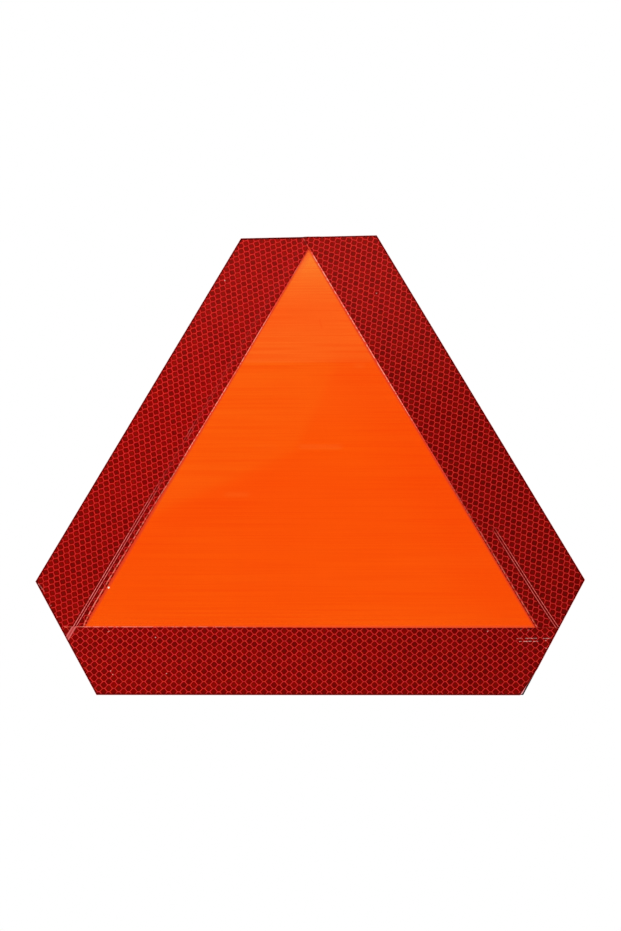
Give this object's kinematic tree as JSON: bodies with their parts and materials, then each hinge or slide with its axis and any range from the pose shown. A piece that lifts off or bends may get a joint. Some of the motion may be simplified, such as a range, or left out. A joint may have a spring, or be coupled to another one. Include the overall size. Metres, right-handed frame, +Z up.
{
  "type": "reflective triangle plate",
  "caption": "Flat triangular marking plate with cut corners: orange film framed by lapped strips of red reflective tape on an aluminium sheet.",
  "frame": {"origin": "middle of the back face, which is the middle of the plate's outline box", "axes": "+Z up the plate to the triangle's tip, +X to the right seen from the front, face towards -Y, +Y out of the back face"},
  "size_m": [0.4108, 0.0026, 0.359],
  "materials": {
    "aluminium_sheet": "mill",
    "orange_film": "gloss",
    "red_tape": "gloss"
  },
  "bodies": {
    "root": {"backing_plate": "aluminium_sheet", "orange_film": "orange_film", "left_tape": "red_tape", "right_tape": "red_tape", "bottom_tape": "red_tape"}
  },
  "joints": []
}
